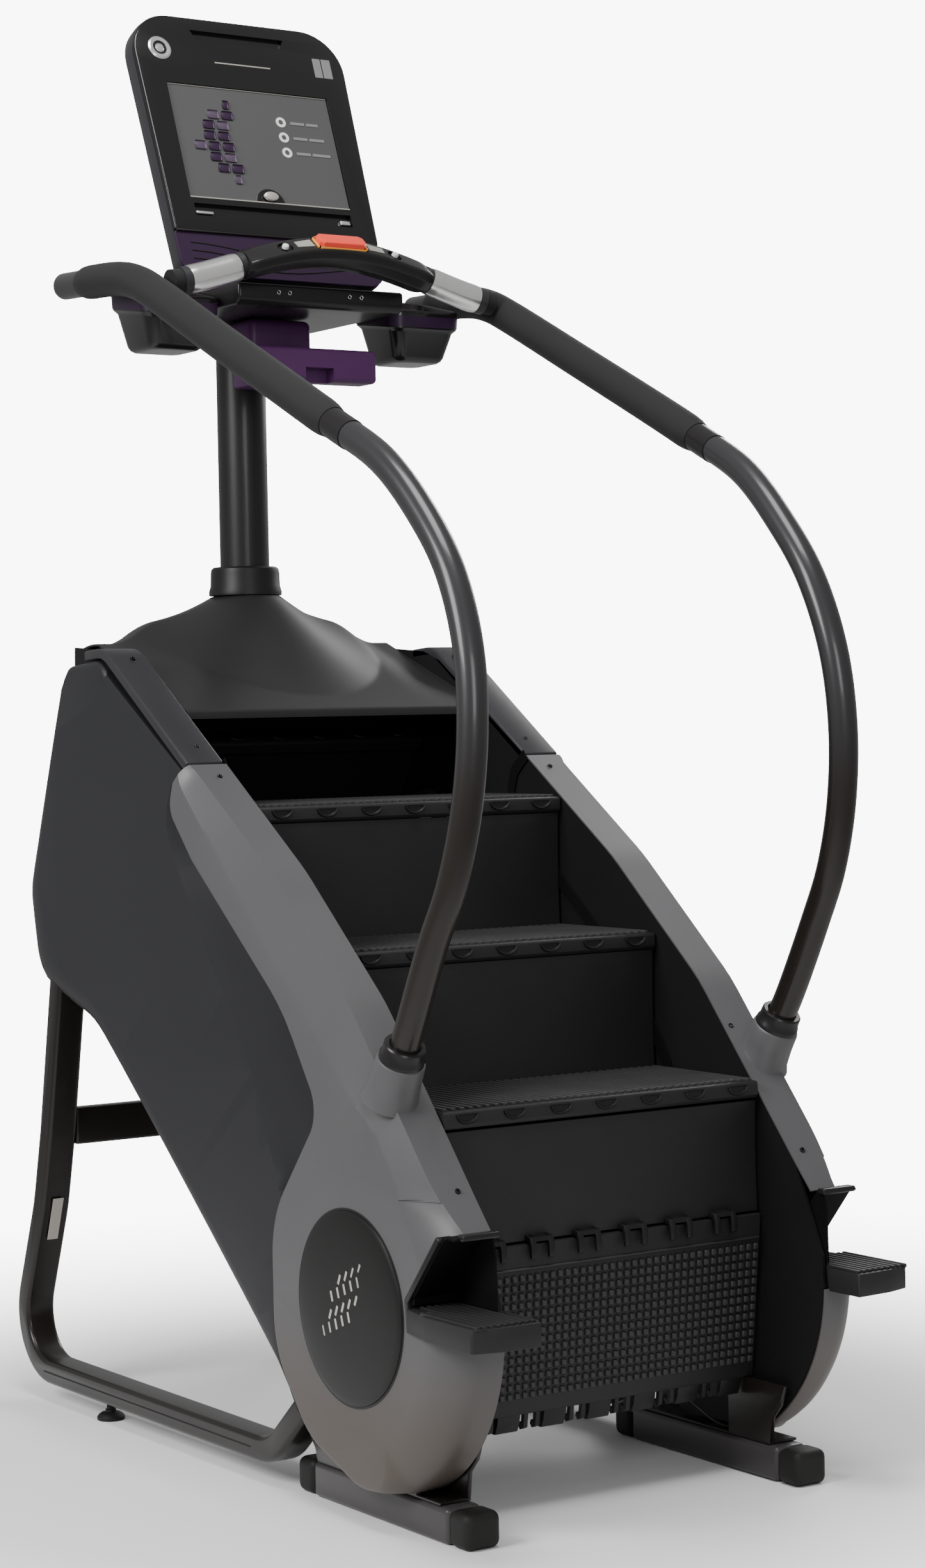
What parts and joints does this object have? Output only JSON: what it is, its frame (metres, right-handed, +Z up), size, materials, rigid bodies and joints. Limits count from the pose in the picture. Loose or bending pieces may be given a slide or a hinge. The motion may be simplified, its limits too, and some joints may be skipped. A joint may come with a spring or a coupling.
{
  "type": "stair climber",
  "caption": "Upright gym stair climber with revolving treads between skirted side frames, side handrails, a central mast and a tilted console above a curved handlebar.",
  "frame": {"origin": "centre of the bounding box at floor level", "axes": "+X to the climber's right, -Y towards the side the climber steps on from, +Z up"},
  "size_m": [0.738, 1.4295, 2.2552],
  "materials": {
    "grey_cover": "satin",
    "dark_panel": "satin",
    "step_plastic": "matt ribbed",
    "inner_steel": "matt",
    "frame_paint": "satin",
    "foot_paint": "satin",
    "black_plastic": "satin",
    "rail_paint": "metallic satin",
    "foam": "matt foam",
    "foot_rubber": "matt",
    "bare_steel": "brushed",
    "gloss_black": "gloss",
    "screen": "gloss",
    "stop_red": "gloss",
    "silver": "polished",
    "cup_plastic": "semi-gloss"
  },
  "bodies": {
    "machine": {"side_frame_left": "inner_steel", "side_frame_right": "inner_steel", "rear_frame_left": "frame_paint", "rear_frame_right": "frame_paint", "levelling_foot_left": "foot_rubber", "levelling_foot_right": "foot_rubber", "front_foot_left": "foot_paint", "front_foot_right": "foot_paint", "lower_cover_left": "grey_cover", "lower_cover_right": "grey_cover", "side_panel_left": "dark_panel", "side_panel_right": "dark_panel", "top_strip_left": "dark_panel", "top_strip_right": "dark_panel", "wheel_cover_left": "gloss_black", "wheel_cover_right": "gloss_black", "foot_platform_left": "step_plastic", "foot_platform_right": "step_plastic", "pulse_plate_left": "silver", "pulse_plate_right": "silver", "handrail_left": "rail_paint", "handrail_right": "rail_paint", "foam_grip_left": "foam", "foam_grip_right": "foam", "rail_collar_left": "black_plastic", "rail_collar_right": "black_plastic", "cup_holder_left": "cup_plastic", "cup_holder_right": "cup_plastic", "rear_crossbar": "inner_steel", "back_cover": "black_plastic", "brake_unit": "inner_steel", "top_deck": "black_plastic", "mast_crossbeam": "inner_steel", "mast": "rail_paint", "mast_collar": "black_plastic", "mast_head_cover": "black_plastic", "accessory_box": "black_plastic", "console_shell": "black_plastic", "console_bezel": "gloss_black", "console_screen": "screen", "console_lower_panel": "black_plastic", "console_bracket": "black_plastic", "handlebar": "rail_paint", "handlebar_housing": "black_plastic"},
    "step_flight": {"tread_lower": "step_plastic", "tread_middle": "step_plastic", "tread_upper": "step_plastic", "riser_middle": "step_plastic", "riser_upper": "step_plastic"},
    "riser_lower": {"riser_lower": "step_plastic"},
    "tread_front": {"tread_front": "step_plastic"},
    "tread_rear": {"tread_rear": "step_plastic"},
    "return_steps": {"return_steps": "step_plastic"},
    "lower_shaft": {"lower_shaft": "bare_steel"},
    "upper_shaft": {"upper_shaft": "bare_steel"},
    "brake_pulley": {"brake_pulley": "bare_steel"},
    "stop_button": {"stop_button": "stop_red"},
    "home_button": {"home_button": "silver"},
    "toggle_left": {"toggle_left": "black_plastic"},
    "toggle_right": {"toggle_right": "black_plastic"}
  },
  "joints": [
    {"name": "stair_travel", "type": "slide", "parent": "machine", "child": "step_flight", "axis": [0, -0.7635, -0.6458], "range_m": [0, 0.0786]},
    {"name": "front_riser_swing", "type": "hinge", "parent": "step_flight", "child": "riser_lower", "pos_m": [0, -0.498, 0.574], "axis": [1, 0, 0], "range_deg": [0, 9.1]},
    {"name": "front_turnover", "type": "hinge", "parent": "machine", "child": "tread_front", "pos_m": [0, -0.376, 0.3], "axis": [1, 0, 0], "range_deg": [0, 21.8]},
    {"name": "rear_turnover", "type": "hinge", "parent": "machine", "child": "tread_rear", "pos_m": [0, 0.34, 0.907], "axis": [1, 0, 0], "range_deg": [0, 21.8]},
    {"name": "lower_shaft_spin", "type": "hinge", "parent": "machine", "child": "lower_shaft", "pos_m": [0, -0.376, 0.3], "axis": [1, 0, 0], "range_deg": [0, 56.3]},
    {"name": "upper_shaft_spin", "type": "hinge", "parent": "machine", "child": "upper_shaft", "pos_m": [0, 0.34, 0.907], "axis": [1, 0, 0], "range_deg": [0, 56.3]},
    {"name": "brake_pulley_spin", "type": "hinge", "parent": "machine", "child": "brake_pulley", "pos_m": [0, -0.00716, 0.63817], "axis": [1, 0, 0], "range_deg": [0, 131.4]},
    {"name": "return_travel", "type": "slide", "parent": "machine", "child": "return_steps", "axis": [0, 0.7635, 0.6458], "range_m": [0, 0.0786]},
    {"name": "stop_button_press", "type": "slide", "parent": "machine", "child": "stop_button", "axis": [0, 0.6264, -0.7795], "range_m": [0, 0.0035], "stiffness_N_per_m": 1500},
    {"name": "home_button_press", "type": "slide", "parent": "machine", "child": "home_button", "axis": [0, 0.9397, -0.342], "range_m": [0, 0.002], "stiffness_N_per_m": 1500},
    {"name": "toggle_left_tilt", "type": "hinge", "parent": "machine", "child": "toggle_left", "pos_m": [-0.1, 0.165, 1.83708], "axis": [1, 0, 0], "range_deg": [-8, 8], "stiffness_Nm_per_rad": 0.8},
    {"name": "toggle_right_tilt", "type": "hinge", "parent": "machine", "child": "toggle_right", "pos_m": [0.1, 0.165, 1.83708], "axis": [1, 0, 0], "range_deg": [-8, 8], "stiffness_Nm_per_rad": 0.8}
  ],
  "couplings": [
    {"joint": "front_riser_swing", "follows": "stair_travel", "rad_per_m": 2},
    {"joint": "front_turnover", "follows": "stair_travel", "rad_per_m": 4.84},
    {"joint": "rear_turnover", "follows": "stair_travel", "rad_per_m": 4.84},
    {"joint": "lower_shaft_spin", "follows": "stair_travel", "rad_per_m": 12.5},
    {"joint": "upper_shaft_spin", "follows": "stair_travel", "rad_per_m": 12.5},
    {"joint": "brake_pulley_spin", "follows": "stair_travel", "rad_per_m": 29.167},
    {"joint": "return_travel", "follows": "stair_travel", "ratio": 1}
  ]
}
